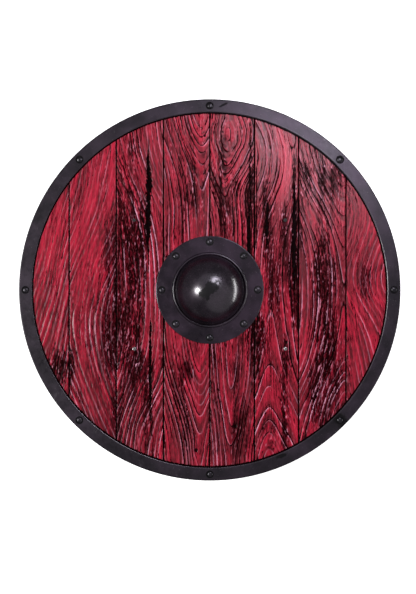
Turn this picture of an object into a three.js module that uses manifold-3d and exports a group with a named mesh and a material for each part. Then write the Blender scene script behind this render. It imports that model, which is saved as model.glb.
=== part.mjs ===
// A round wooden shield of eight upright boards, lying on its back with the painted face up.
// A steel channel binds the edge and a hollow steel boss covers the hand hole in the middle.
// Behind the boards are two cross battens, and the wooden grip that the hand closes on.
// Millimetres, +Z up. The origin is on the floor, under the middle of the shield.
import * as THREE from "three";
import { mergeVertices } from "three/addons/utils/BufferGeometryUtils.js";
import Module from "manifold-3d";

const wasm = await Module();
wasm.setup();

// ---- Driving dimensions ----

const SHIELD_RADIUS = 350;
const BOARD_THICKNESS = 12;
const BATTEN_THICKNESS = 16;

// Where one board meets the next, across the shield.
const SEAMS = [-258, -171.5, -85, 0, 82, 163, 250];
const SEAM_GAP = 0.6;
const BOARD_CHAMFER_WIDTH = 1.5;
const BOARD_CHAMFER_DEPTH = 2;
const HAND_HOLE_RADIUS = 60;

const STEEL = 2;
const RIM_FRONT_WIDTH = 24;
const RIM_BACK_WIDTH = 20;
const RIM_CORNER = 2.2;
const RIM_EDGE_ROUND = 0.7;
const RIM_SIDES = 64;
const BOARD_TO_RIM = 0.8;

const FLANGE_RADIUS = 99;
const DOME_RADIUS = 63.5;
const DOME_HEIGHT = 50;
const BOSS_SIDES = 40;

const RIM_RIVET_CIRCLE = 338;
const BOSS_RIVET_CIRCLE = 88;
const RIVETS_ROUND = 8;
const SHANK_RADIUS = 2.5;
const HOLE_RADIUS = 2.8;
const RIVET_HEAD = { radius: 5.5, height: 2.5 };
const BATTEN_RIVET_HEAD = { radius: 4, height: 1.5 };
const RIVET_TAIL = { radius: 4.2, height: 1.5 };
const ROVE_RADIUS = 6;
const ROVE_THICKNESS = 1;
const DIMPLE = { radius: 5, depth: 1 };
const ROVE_SEAT = { radius: 7, depth: 3 };

// The battens cross the boards at these heights, and their rivets stand this far to each side.
const BATTEN_ROWS = { upper: 128, lower: -108 };
const BATTEN_WIDTH = 26;
const BATTEN_REACH = 322;
const BATTEN_CHAMFER = 3;
const BATTEN_END_SLOPE = 18;
const BATTEN_RIVET_OFFSET = 139;
const RIVETED_BOARDS = [3, 6];

const NAIL_HEAD = { radius: 3.5, height: 1 };
const NAIL_SEAT = { radius: 4.2, depth: 1.5 };
const NAIL_SHANK_RADIUS = 1.5;
const NAIL_HOLE_RADIUS = 1.8;
const NAIL_LENGTH = 22;

const GRIP_LENGTH = 224;
const GRIP_END_THICKNESS = 11;
const GRIP_END_WIDTH = 36;
const GRIP_HAND_WIDTH = 28;
const GRIP_HAND_HALF = 46;
const GRIP_END_HALF = 62;
const GRIP_RISE = 9;
const GRIP_SAG = 2;
const GRIP_CHAMFER = 7;

// Long splits that weather has opened in the face: board number, middle, length and width.
const SPLITS = [
  { board: 3, x: -113, y: 157, length: 156, width: 8 },
  { board: 3, x: -109, y: -145, length: 196, width: 5.5 },
  { board: 5, x: 72, y: 106, length: 104, width: 6 },
  { board: 6, x: 155, y: 88, length: 202, width: 8 },
];
const SPLIT_DEPTH = 3;

// ---- Levels, from the floor up ----

const BOARD_BACK = BATTEN_THICKNESS;
const BOARD_FRONT = BOARD_BACK + BOARD_THICKNESS;
const STEEL_FRONT = BOARD_FRONT + STEEL;
const STEEL_BACK = BOARD_BACK - STEEL;
const GRIP_BACK = BOARD_BACK - GRIP_END_THICKNESS;
const BOARD_RADIUS = SHIELD_RADIUS - STEEL - BOARD_TO_RIM;

// ---- Colours ----

const paint = new THREE.MeshStandardMaterial({ color: 0xa81c34, roughness: 0.45 });
const blackSteel = new THREE.MeshStandardMaterial({ color: 0x2e2a33, roughness: 0.45, metalness: 0.6 });
const bareSteel = new THREE.MeshStandardMaterial({ color: 0x8c8a88, roughness: 0.4, metalness: 0.9 });
const oiledWood = new THREE.MeshStandardMaterial({ color: 0x6b4428, roughness: 0.7 });

// ---- Shape helpers ----

// A geometry as a solid that can be cut and joined.
function solid(geometry) {
  const bare = geometry.index ? geometry.toNonIndexed() : geometry.clone();
  bare.deleteAttribute("normal");
  bare.deleteAttribute("uv");
  const merged = mergeVertices(bare, 1e-3);
  return new wasm.Manifold(
    new wasm.Mesh({
      numProp: 3,
      vertProperties: new Float32Array(merged.attributes.position.array),
      triVerts: new Uint32Array(merged.index.array),
    }),
  );
}

function geometryOf(manifold) {
  const mesh = manifold.getMesh();
  const geometry = new THREE.BufferGeometry();
  geometry.setAttribute("position", new THREE.BufferAttribute(mesh.vertProperties, 3));
  geometry.setIndex(new THREE.BufferAttribute(mesh.triVerts, 1));
  const faceted = geometry.toNonIndexed();
  faceted.computeVertexNormals();
  return faceted;
}

// A profile of [radius, height] pairs turned round the Z axis.
function turned(profile, sides) {
  const points = profile.map(([radius, height]) => new THREE.Vector2(radius, height));
  return new THREE.LatheGeometry(points, sides).rotateX(Math.PI / 2);
}

function closed(profile) {
  return [...profile, profile[0]];
}

// A round bar along Z, with a corner of its outline on the X axis.
function roundBar(radius, bottom, top, sides) {
  return turned(
    [
      [0, bottom],
      [radius, bottom],
      [radius, top],
      [0, top],
    ],
    sides,
  );
}

// An outline of [across, along] pairs given a depth along Z, centred on zero if asked.
function prism(outline, depth) {
  const shape = new THREE.Shape(outline.map(([a, b]) => new THREE.Vector2(a, b)));
  return new THREE.ExtrudeGeometry(shape, { depth, bevelEnabled: false });
}

// An [x, z] outline that runs the given length along Y, centred.
function alongY(outline, length) {
  return prism(outline, length).rotateX(Math.PI / 2).translate(0, length / 2, 0);
}

// A [y, z] outline that runs the given length along X, centred.
function alongX(outline, length) {
  const turn = new THREE.Matrix4().set(0, 0, 1, 0, 1, 0, 0, 0, 0, 1, 0, 0, 0, 0, 0, 1);
  return prism(outline, length).applyMatrix4(turn).translate(-length / 2, 0, 0);
}

// A rectangle with its four corners cut off.
function chamfered(halfWidth, bottom, top, cut) {
  return [
    [-halfWidth + cut, bottom],
    [halfWidth - cut, bottom],
    [halfWidth, bottom + cut],
    [halfWidth, top - cut],
    [halfWidth - cut, top],
    [-halfWidth + cut, top],
    [-halfWidth, top - cut],
    [-halfWidth, bottom + cut],
  ];
}

function onCircle(radius, index) {
  const angle = (index * 2 * Math.PI) / RIVETS_ROUND;
  return new THREE.Vector2(radius * Math.cos(angle), radius * Math.sin(angle));
}

// ---- Where the fasteners are ----

const rimRivetSpots = Array.from({ length: RIVETS_ROUND }, (_, i) => onCircle(RIM_RIVET_CIRCLE, i));
const bossRivetSpots = Array.from({ length: RIVETS_ROUND }, (_, i) => onCircle(BOSS_RIVET_CIRCLE, i));
const battenRivetSpots = [];
for (const row of Object.values(BATTEN_ROWS)) {
  for (const side of [-1, 1]) {
    battenRivetSpots.push(new THREE.Vector2(side * BATTEN_RIVET_OFFSET, row));
  }
}

const boardEdges = [-BOARD_RADIUS, ...SEAMS, BOARD_RADIUS];

function battenHalfLength(row) {
  return Math.sqrt(BATTEN_REACH ** 2 - (Math.abs(row) + BATTEN_WIDTH / 2) ** 2);
}

// A nail goes through each batten into every board that no rivet holds there.
const nailSpots = [];
for (const row of Object.values(BATTEN_ROWS)) {
  const reach = battenHalfLength(row);
  for (let board = 1; board < boardEdges.length; board += 1) {
    if (RIVETED_BOARDS.includes(board)) continue;
    const left = Math.max(boardEdges[board - 1], -reach);
    const right = Math.min(boardEdges[board], reach);
    nailSpots.push(new THREE.Vector2((left + right) / 2, row));
  }
}

// The solid less a round hole at each spot.
function drilled(body, spots, radius, bottom, top, sides = 8) {
  const hole = solid(roundBar(radius, bottom, top, sides));
  return spots.reduce((left, spot) => left.subtract(hole.translate(spot.x, spot.y, 0)), body);
}

// ---- The boards ----

const disc = solid(roundBar(BOARD_RADIUS, BOARD_BACK, BOARD_FRONT, 2 * RIM_SIDES));

function splitCutter({ x, y, length, width }) {
  const hull = new THREE.SphereGeometry(1, 6, 8);
  return solid(hull.scale(width / 2, length / 2, SPLIT_DEPTH).translate(x, y, BOARD_FRONT));
}

function board(number) {
  const left = boardEdges[number - 1] + SEAM_GAP / 2;
  const right = boardEdges[number] - SEAM_GAP / 2;
  const section = [
    [left, BOARD_BACK],
    [right, BOARD_BACK],
    [right, BOARD_FRONT - BOARD_CHAMFER_DEPTH],
    [right - BOARD_CHAMFER_WIDTH, BOARD_FRONT],
    [left + BOARD_CHAMFER_WIDTH, BOARD_FRONT],
    [left, BOARD_FRONT - BOARD_CHAMFER_DEPTH],
  ];
  let body = solid(alongY(section, 2 * SHIELD_RADIUS)).intersect(disc);
  const below = BOARD_BACK - 1;
  const above = BOARD_FRONT + 1;
  body = body.subtract(solid(roundBar(HAND_HOLE_RADIUS, below, above, BOSS_SIDES)));
  const throughSpots = [...rimRivetSpots, ...bossRivetSpots, ...battenRivetSpots];
  body = drilled(body, throughSpots, HOLE_RADIUS, below, above);
  body = drilled(body, battenRivetSpots, DIMPLE.radius, BOARD_FRONT - DIMPLE.depth, above);
  body = drilled(body, nailSpots, NAIL_HOLE_RADIUS, below, NAIL_SEAT.depth + NAIL_LENGTH + 0.5, 6);
  for (const split of SPLITS.filter((one) => one.board === number)) {
    body = body.subtract(splitCutter(split));
  }
  return geometryOf(body);
}

// ---- The steel rim, a channel that grips the edge of the boards ----

function rim() {
  const outer = SHIELD_RADIUS;
  const frontInner = outer - RIM_FRONT_WIDTH;
  const backInner = outer - RIM_BACK_WIDTH;
  const profile = [
    [frontInner, BOARD_FRONT],
    [outer - STEEL, BOARD_FRONT],
    [outer - STEEL, BOARD_BACK],
    [backInner, BOARD_BACK],
    [backInner, STEEL_BACK],
    [outer - RIM_CORNER * 0.7, STEEL_BACK],
    [outer, STEEL_BACK + RIM_CORNER * 0.7],
    [outer, STEEL_FRONT - RIM_CORNER],
    [outer - RIM_CORNER * 0.3, STEEL_FRONT - RIM_CORNER * 0.3],
    [outer - RIM_CORNER, STEEL_FRONT],
    [frontInner + RIM_EDGE_ROUND, STEEL_FRONT],
    [frontInner, STEEL_FRONT - RIM_EDGE_ROUND],
  ];
  const channel = solid(turned(closed(profile), RIM_SIDES));
  return geometryOf(drilled(channel, rimRivetSpots, HOLE_RADIUS, STEEL_BACK - 1, STEEL_FRONT + 1));
}

// ---- The boss, a steel bowl with a bead round its foot and a flat flange ----

// Points down an elliptical dome, from its crown to just above its foot.
function domeCurve(radius, height, steps) {
  return Array.from({ length: steps + 1 }, (_, i) => {
    const angle = (Math.PI / 2) * (1 - i / steps);
    return [radius * Math.cos(angle), STEEL_FRONT + height * Math.sin(angle)];
  });
}

function boss() {
  const outside = domeCurve(DOME_RADIUS, DOME_HEIGHT, 7).slice(0, -1);
  const inside = domeCurve(DOME_RADIUS - STEEL, DOME_HEIGHT - STEEL, 4);
  const beadMiddle = DOME_RADIUS + 3;
  const profile = [
    ...outside.map(([radius, height]) => [Math.max(radius, 0), height]),
    [DOME_RADIUS + 0.2, STEEL_FRONT + 1.6],
    [beadMiddle - 1.2, STEEL_FRONT + 3],
    [beadMiddle + 0.8, STEEL_FRONT + 3],
    [beadMiddle + 2.4, STEEL_FRONT + 1],
    [beadMiddle + 4.5, STEEL_FRONT],
    [FLANGE_RADIUS - RIM_EDGE_ROUND, STEEL_FRONT],
    [FLANGE_RADIUS, STEEL_FRONT - RIM_EDGE_ROUND],
    [FLANGE_RADIUS, BOARD_FRONT],
    [DOME_RADIUS - STEEL, BOARD_FRONT],
    ...inside.reverse().map(([radius, height]) => [Math.max(radius, 0), height]),
  ];
  const bowl = solid(turned(profile.reverse(), BOSS_SIDES));
  return geometryOf(drilled(bowl, bossRivetSpots, HOLE_RADIUS, BOARD_FRONT - 1, STEEL_FRONT + 1));
}

// ---- Rivets, the roves they are closed over, and nails ----

// A rivet whose head sits on one level and whose tail is closed against a lower one.
function rivet(head, underHead, tailTop) {
  const profile = [
    [0, tailTop - RIVET_TAIL.height],
    [RIVET_TAIL.radius, tailTop],
    [SHANK_RADIUS, tailTop],
    [SHANK_RADIUS, underHead],
    [head.radius, underHead],
    [head.radius * 0.72, underHead + head.height * 0.7],
    [0, underHead + head.height],
  ];
  return turned(profile, 8);
}

function rove(top) {
  const profile = [
    [HOLE_RADIUS, top - ROVE_THICKNESS],
    [ROVE_RADIUS, top - ROVE_THICKNESS],
    [ROVE_RADIUS, top],
    [HOLE_RADIUS, top],
  ];
  return turned(closed(profile), 8);
}

function nail() {
  const profile = [
    [0, NAIL_SEAT.depth - NAIL_HEAD.height],
    [NAIL_HEAD.radius, NAIL_SEAT.depth],
    [NAIL_SHANK_RADIUS, NAIL_SEAT.depth],
    [NAIL_SHANK_RADIUS, NAIL_SEAT.depth + NAIL_LENGTH - 3],
    [0, NAIL_SEAT.depth + NAIL_LENGTH],
  ];
  return turned(profile, 6);
}

// ---- The battens and the grip ----

function batten(row) {
  const half = battenHalfLength(row);
  const elevation = [
    [-half, BOARD_BACK],
    [-half, BOARD_BACK - 4],
    [-half + BATTEN_END_SLOPE, 0],
    [half - BATTEN_END_SLOPE, 0],
    [half, BOARD_BACK - 4],
    [half, BOARD_BACK],
  ];
  const w = BATTEN_WIDTH / 2;
  const section = [
    [-w, BOARD_BACK],
    [-w, BATTEN_CHAMFER],
    [-w + BATTEN_CHAMFER, 0],
    [w - BATTEN_CHAMFER, 0],
    [w, BATTEN_CHAMFER],
    [w, BOARD_BACK],
  ];
  let body = solid(alongY(elevation, BATTEN_WIDTH)).intersect(solid(alongX(section, 2 * half)));
  body = body.translate(0, row, 0);
  body = drilled(body, battenRivetSpots, HOLE_RADIUS, -1, BOARD_BACK + 1);
  body = drilled(body, battenRivetSpots, ROVE_SEAT.radius, -1, ROVE_SEAT.depth);
  body = drilled(body, nailSpots, NAIL_HOLE_RADIUS, -1, BOARD_BACK + 1, 6);
  body = drilled(body, nailSpots, NAIL_SEAT.radius, -1, NAIL_SEAT.depth, 6);
  return geometryOf(body);
}

// Two flat pads that lie on the boards, joined by a rounded bar across the hand hole.
function grip() {
  const half = GRIP_LENGTH / 2;
  const handTop = BOARD_BACK + GRIP_RISE;
  const handBottom = GRIP_BACK - GRIP_SAG;
  const elevation = [
    [-half, BOARD_BACK],
    [-half, GRIP_BACK + 4],
    [-half + 8, GRIP_BACK],
    [-GRIP_END_HALF, GRIP_BACK],
    [-GRIP_HAND_HALF, handBottom],
    [GRIP_HAND_HALF, handBottom],
    [GRIP_END_HALF, GRIP_BACK],
    [half - 8, GRIP_BACK],
    [half, GRIP_BACK + 4],
    [half, BOARD_BACK],
    [HAND_HOLE_RADIUS - 5, BOARD_BACK],
    [GRIP_HAND_HALF, handTop],
    [-GRIP_HAND_HALF, handTop],
    [-HAND_HOLE_RADIUS + 5, BOARD_BACK],
  ];
  const pad = GRIP_END_WIDTH / 2;
  const hand = GRIP_HAND_WIDTH / 2;
  const plan = [
    [-half, -pad + 5],
    [-half + 5, -pad],
    [-GRIP_END_HALF - 8, -pad],
    [-GRIP_HAND_HALF, -hand],
    [GRIP_HAND_HALF, -hand],
    [GRIP_END_HALF + 8, -pad],
    [half - 5, -pad],
    [half, -pad + 5],
    [half, pad - 5],
    [half - 5, pad],
    [GRIP_END_HALF + 8, pad],
    [GRIP_HAND_HALF, hand],
    [-GRIP_HAND_HALF, hand],
    [-GRIP_END_HALF - 8, pad],
    [-half + 5, pad],
    [-half, pad - 5],
  ];
  const blank = solid(alongY(elevation, GRIP_END_WIDTH)).intersect(
    solid(prism(plan, BOARD_FRONT)),
  );
  const rounded = alongX(chamfered(hand, handBottom, handTop, GRIP_CHAMFER), 2 * GRIP_HAND_HALF);
  const padBlock = alongX(chamfered(pad, GRIP_BACK, BOARD_BACK + 20, 2.5), GRIP_LENGTH);
  const middle = solid(alongX(chamfered(pad + 1, 0, BOARD_FRONT, 0.1), 2 * GRIP_HAND_HALF));
  const handPart = blank.intersect(solid(rounded));
  const padPart = blank.subtract(middle).intersect(solid(padBlock));
  const body = drilled(handPart.add(padPart), bossRivetSpots, HOLE_RADIUS, 0, BOARD_FRONT);
  return geometryOf(body);
}

// ---- Putting it together ----

const shield = new THREE.Group();

function place(name, geometry, material, spot = new THREE.Vector2()) {
  const mesh = new THREE.Mesh(geometry, material);
  mesh.name = name;
  mesh.position.set(spot.x, spot.y, 0);
  shield.add(mesh);
}

for (let number = 1; number < boardEdges.length; number += 1) {
  place(`board_${number}`, board(number), paint);
}
place("rim", rim(), blackSteel);
place("boss", boss(), blackSteel);
for (const [name, row] of Object.entries(BATTEN_ROWS)) {
  place(`batten_${name}`, batten(row), oiledWood);
}
place("grip", grip(), oiledWood);

rimRivetSpots.forEach((spot, i) => {
  place(`rim_rivet_${i + 1}`, rivet(RIVET_HEAD, STEEL_FRONT, STEEL_BACK), blackSteel, spot);
});
bossRivetSpots.forEach((spot, i) => {
  const onGrip = Math.abs(spot.y) < GRIP_END_WIDTH / 2;
  const roveTop = onGrip ? GRIP_BACK : BOARD_BACK;
  const stem = rivet(RIVET_HEAD, STEEL_FRONT, roveTop - ROVE_THICKNESS);
  place(`boss_rivet_${i + 1}`, stem, blackSteel, spot);
  place(`boss_rove_${i + 1}`, rove(roveTop), bareSteel, spot);
});
battenRivetSpots.forEach((spot, i) => {
  const tailTop = ROVE_SEAT.depth - ROVE_THICKNESS;
  const stem = rivet(BATTEN_RIVET_HEAD, BOARD_FRONT - DIMPLE.depth, tailTop);
  place(`batten_rivet_${i + 1}`, stem, bareSteel, spot);
  place(`batten_rove_${i + 1}`, rove(ROVE_SEAT.depth), bareSteel, spot);
});
nailSpots.forEach((spot, i) => place(`batten_nail_${i + 1}`, nail(), bareSteel, spot));

export default shield;
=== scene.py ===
"""A round wooden shield of eight painted boards with a blackened steel rim and boss.

It lies on its back on a pale studio floor. Metres, +Z up, +Y along the boards. The boards
are worked out in millimetres.
"""

import math

import bmesh
import bpy
import numpy as np
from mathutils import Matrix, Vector


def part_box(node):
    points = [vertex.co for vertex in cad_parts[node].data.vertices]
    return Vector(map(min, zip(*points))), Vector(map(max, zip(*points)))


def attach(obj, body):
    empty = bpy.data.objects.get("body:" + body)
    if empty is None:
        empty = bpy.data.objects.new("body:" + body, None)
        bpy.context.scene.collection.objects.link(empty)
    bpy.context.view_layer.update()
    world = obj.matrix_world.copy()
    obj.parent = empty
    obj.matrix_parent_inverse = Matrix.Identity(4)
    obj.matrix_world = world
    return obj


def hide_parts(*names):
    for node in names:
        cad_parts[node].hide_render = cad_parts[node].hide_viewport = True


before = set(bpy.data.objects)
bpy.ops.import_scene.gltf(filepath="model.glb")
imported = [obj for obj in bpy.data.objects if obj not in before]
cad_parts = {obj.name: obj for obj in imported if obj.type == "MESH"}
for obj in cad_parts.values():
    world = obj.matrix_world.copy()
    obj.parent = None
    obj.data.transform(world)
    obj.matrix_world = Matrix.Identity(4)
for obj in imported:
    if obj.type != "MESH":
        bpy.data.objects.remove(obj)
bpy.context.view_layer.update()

# ---- Camera ----
# It looks straight down on the face from far off, as through a long lens.

FACE_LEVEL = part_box("board_4")[1].z
CAMERA_HEIGHT = 3.0
CAMERA_OFFSET = (-0.0032, -0.0130)
FOCAL_LENGTH = 141.5
SENSOR_WIDTH = 36

camera_data = bpy.data.cameras.new("camera")
camera_data.sensor_fit = "HORIZONTAL"
camera_data.sensor_width = SENSOR_WIDTH
camera_data.lens = FOCAL_LENGTH
camera_data.clip_end = 50
camera = bpy.data.objects.new("camera", camera_data)
camera.location = (*CAMERA_OFFSET, FACE_LEVEL + CAMERA_HEIGHT)
bpy.context.collection.objects.link(camera)
bpy.context.scene.camera = camera

# ---- Boards ----
# Eight softwood boards have swelled until they touch. Age has sunk the soft wood between the
# growth rings and opened a few long splits. The face is red with a black wash left in the
# grain, under a glossy varnish. The back is plain oiled wood.

HAND_HOLE_RADIUS = 60
SWELLING = 0.299
END_TRIM = 0.15
RIM_SHADOW_RADIUS = 323
BACK_CHAMFER = 0.8
BOARD_SMOOTH_ANGLE = 58

# The face's grid: its rows, its columns, and closer columns beside a seam.
ROW_STEP = 1.7
COLUMN_STEP = 0.8
EDGE_STEPS = [0, 0.3, 0.65, 1.1, 1.7]

# The depths and widths of what age has done to the face.
EDGE_ROUND_DEPTH = 1.4
EDGE_ROUND_WIDTH = 0.8
STEP_HEIGHT = 0.75
STEP_WIDTH = 1.0
LINE_WIDTH = 0.8
CREST_WIDTH = 0.7
FINE_LINES_PER_RING = 2.3
FINE_GROOVE_DEPTH = 0.16
FINE_GROOVE_WIDTH = 0.8
PIT_DEPTH = 0.1
SPLIT_DEPTH = 3.2
KNOT_DEPTH = 0.9
KNOT_HEIGHT = 1.8
SEAM_HALF_WIDTH = 1.45

# Steps that give each ring a random value of its own, and keep it along the whole ring.
NEXT_RING = 0.59
WHOLE_LENGTH = 1e4
# Steps of this part of a turn never come back to the same place.
GOLDEN_STEP = 0.618

# How each board grew, in millimetres. Its rings are ring_width apart on both sides of the
# heart line, which may lean by so much to each millimetre up. A bend pushes that line
# aside around a height: height, reach and shift. An arch is a height, a reach and the number
# of rings that close over there: above zero they close upwards, and below zero downwards.
# The steep side of each ring's step faces away from the heart where steps is 1, and towards
# it where it is -1. Lines is how dark the rings have stayed. Crests is how pale their tops
# are painted at the board's foot and at its head, a painted highlight with some wear. Grime
# is how much of the wash lies all over it.
GROWTH = [
    dict(heart=-190, lean=0.3, ring_width=9.5, steps=1,
         lines=0.65, crests=(0.6, 0.4), grime=0.05),
    dict(heart=-345, ring_width=10, steps=-1, bends=[(-70, 200, -105)],
         lines=0.5, crests=(1.0, 0.4), grime=0.05),
    dict(heart=-72, ring_width=8.5, steps=1, arches=[(190, 75, -8), (-200, 80, 8)],
         lines=0.95, crests=(0.9, 1.5), grime=0.22),
    dict(heart=-17, ring_width=6.5, steps=-1, arches=[(265, 60, -7.5), (-190, 90, -9)],
         lines=1.0, crests=(0.65, 1.4), grime=0.15),
    dict(heart=38, ring_width=7, steps=1, bends=[(190, 50, -9)],
         arches=[(260, 11, -1.1), (306, 11, 1.1), (212, 38, -5), (-230, 70, -4)],
         lines=1.15, crests=(0.95, 1.1), grime=0.25),
    dict(heart=113, ring_width=11.5, steps=1, bends=[(240, 100, 42)], arches=[(-225, 110, 8)],
         lines=1.15, crests=(1.6, 0.8), grime=0.25),
    dict(heart=246, ring_width=8, steps=1, arches=[(170, 90, -11), (-170, 90, 9)],
         lines=1.0, crests=(1.5, 0.9), grime=0.25),
    dict(heart=395, lean=-0.22, ring_width=10, steps=1, bends=[(150, 60, 30), (10, 60, -30)],
         lines=0.65, crests=(0.8, 0.1), grime=0.02),
]

# A knot is its place and its radius. A split is its middle, its length and its width.
KNOTS = [(46, -250, 4), (-25, -294, 3), (140.5, -96, 2.6)]
SPLITS = [
    (-113, 165, 190, 8),
    (-112, 192, 74, 12),
    (-113, 124, 80, 10),
    (-112, 150, 250, 3),
    (-109, -145, 196, 5.5),
    (72, 106, 104, 6),
    (74, 200, 230, 3),
    (155, 94, 214, 9),
    (105, 122, 96, 7),
    (86, 150, 190, 2.4),
]

# Where the black wash was left thick: the middle, half width, half length and strength.
WASHES = [
    (-274, -141, 23, 29, 1.2),
    (-188, 0, 18, 150, 0.35),
    (-181, -95, 15, 58, 0.85),
    (-146, 76, 24, 84, 1.15),
    (-146, -50, 22, 60, 0.5),
    (-131, -139, 17, 22, 1.0),
    (-136, 65, 18, 70, 0.35),
    (-146, 258, 11, 22, 0.45),
    (-115, -190, 7, 58, 1.0),
    (-173, -235, 11, 42, 0.6),
    (-24, 212, 14, 58, 0.4),
    (-50, 190, 10, 40, 0.25),
    (14, 225, 14, 40, 0.3),
    (22, 170, 9, 54, 0.4),
    (30, 120, 12, 50, 0.45),
    (76, 150, 7, 120, 1.0),
    (66, 130, 8, 50, 0.7),
    (105, 125, 7, 56, 1.1),
    (135, 118, 6, 32, 1.0),
    (110, 25, 9, 62, 0.8),
    (126, -10, 5, 42, 0.8),
    (90, -70, 7, 45, 0.85),
    (120, 60, 24, 80, 0.15),
    (155, 78, 8, 112, 1.5),
    (-38, -152, 9, 14, 0.8),
    (40, -142, 34, 12, 0.15),
    (91, -78, 10, 28, 1.1),
    (-38, -250, 12, 40, 0.15),
    (-62, -130, 12, 50, 0.3),
    (50, -222, 13, 76, 0.3),
    (78, -130, 8, 60, 0.5),
    (139, -130, 7, 40, 0.8),
    (141, -225, 8, 50, 0.8),
    (202, 214, 30, 34, 0.6),
    (195, 100, 24, 80, 0.25),
    (210, 15, 17, 58, 1.05),
    (219, -105, 11, 50, 0.75),
    (208, -168, 25, 78, 0.75),
    (292, 20, 14, 28, 0.4),
]

# Where it was rubbed thin and only dulls the red. Below zero it was rubbed away.
STAINS = [
    (-285, 90, 40, 90, -0.5),
    (-285, -40, 40, 50, 0.3),
    (-205, 275, 40, 40, 0.45),
    (-185, 80, 13, 70, 0.2),
    (-200, -280, 45, 50, 1.0),
    (-205, -125, 28, 80, 0.5),
    (-148, -178, 16, 40, 0.8),
    (-120, -200, 30, 50, 0.2),
    (-178, -20, 14, 110, 0.35),
    (-41, -146, 13, 18, 0.6),
    (47, -205, 16, 66, 0.5),
    (40, -142, 34, 14, 0.25),
    (205, -210, 34, 60, 0.55),
    (215, -60, 22, 120, 0.4),
    (150, 40, 26, 90, 0.3),
    (125, 262, 36, 50, -0.35),
    (-5, -285, 70, 36, 0.35),
    (285, 30, 40, 60, 0.6),
    (275, 110, 34, 50, 0.3),
    (290, -195, 34, 40, -0.5),
    (225, 200, 22, 30, 0.4),
]


def drift(x, y, seed):
    """Smooth random values from -1 to 1 that change over about one unit.

    Each column starts at a height of its own, so that no rows line up across the grain.
    """
    column = np.floor(x)
    across = x - column
    across = across * across * (3 - 2 * across)

    def along(this_column):
        height = y + GOLDEN_STEP * this_column
        row = np.floor(height)
        up = height - row
        up = up * up * (3 - 2 * up)
        mixed = this_column * 127.1 + row * 311.7 + seed * 74.7
        corners = (mixed, mixed + 311.7)
        low, high = (2 * np.mod(np.sin(corner) * 43758.5453, 1) - 1 for corner in corners)
        return low * (1 - up) + high * up

    return along(column) * (1 - across) + along(column + 1) * across


def ring_count(growth, x, y, seed):
    """How many growth rings lie between the heart line and a point, and the point's side of it.

    The third number counts the wood's fibres across the board. They run straighter than its
    rings, and pass up the middle of an arch.
    """
    wander = 3.2 * drift(x / 48, y / 150, seed) + 1.2 * drift(x / 17, y / 62, seed + 11)
    drawn = growth.get("lean", 0) * y
    for height, reach, shift in growth.get("bends", ()):
        drawn = drawn + shift * np.exp(-(((y - height) / reach) ** 2))
    closed = 0.35 * drift(x / 26, y / 210, seed + 23)
    for height, reach, count in growth.get("arches", ()):
        closed = closed + count / 2 * np.tanh((y - height) / reach)
    for knot_x, knot_y, radius in KNOTS:
        distance = np.hypot(x - knot_x, (y - knot_y) / KNOT_HEIGHT)
        closed = closed - 0.05 * radius**2 * np.exp(-((distance / (3.2 * radius)) ** 2))
    across = (x + wander - growth["heart"] - drawn) / growth["ring_width"]
    upright = (x + wander - growth["heart"] - 0.4 * drawn) / growth["ring_width"]
    rings = np.sqrt(across**2 + 2) + closed
    rings = rings + 0.28 * drift(rings / 1.7, y / 400, seed + 29)
    fibres = upright + 0.4 * closed * np.tanh(0.8 * upright)
    return rings, 0.5 + 0.5 * np.tanh(3 * across), fibres


def split_marks(x, y, seed):
    """Where the splits lie and how deep they have opened, both from 0 to 1."""
    split, opening = np.zeros_like(x), np.zeros_like(x)
    for middle_x, middle_y, length, width in SPLITS:
        along = np.clip((y - middle_y) / (length / 2), -1, 1)
        ragged = 0.85 + 0.3 * drift(y / 9, 0, seed + 9) + 0.5 * drift(y / 3.4, x / 3, seed + 10)
        half_width = width / 2 * np.sqrt(1 - along**2) * ragged
        centre = middle_x + 0.5 * drift(y / 30, 0, seed + 8)
        inside = np.clip((half_width - abs(x - centre)) / 0.9, 0, 1)
        split = np.maximum(split, inside)
        opening = np.maximum(opening, inside * np.clip(half_width / 2.5, 0.1, 1))
    return split, opening


def patch_reaches(patches, x, y):
    """Each patch's strength, and how far out in it a point lies, squared and 1 at its edge."""
    for middle_x, middle_y, half_width, half_length, strength in patches:
        reach = ((x - middle_x) / half_width) ** 2 + ((y - middle_y) / half_length) ** 2
        yield strength, reach


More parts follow.
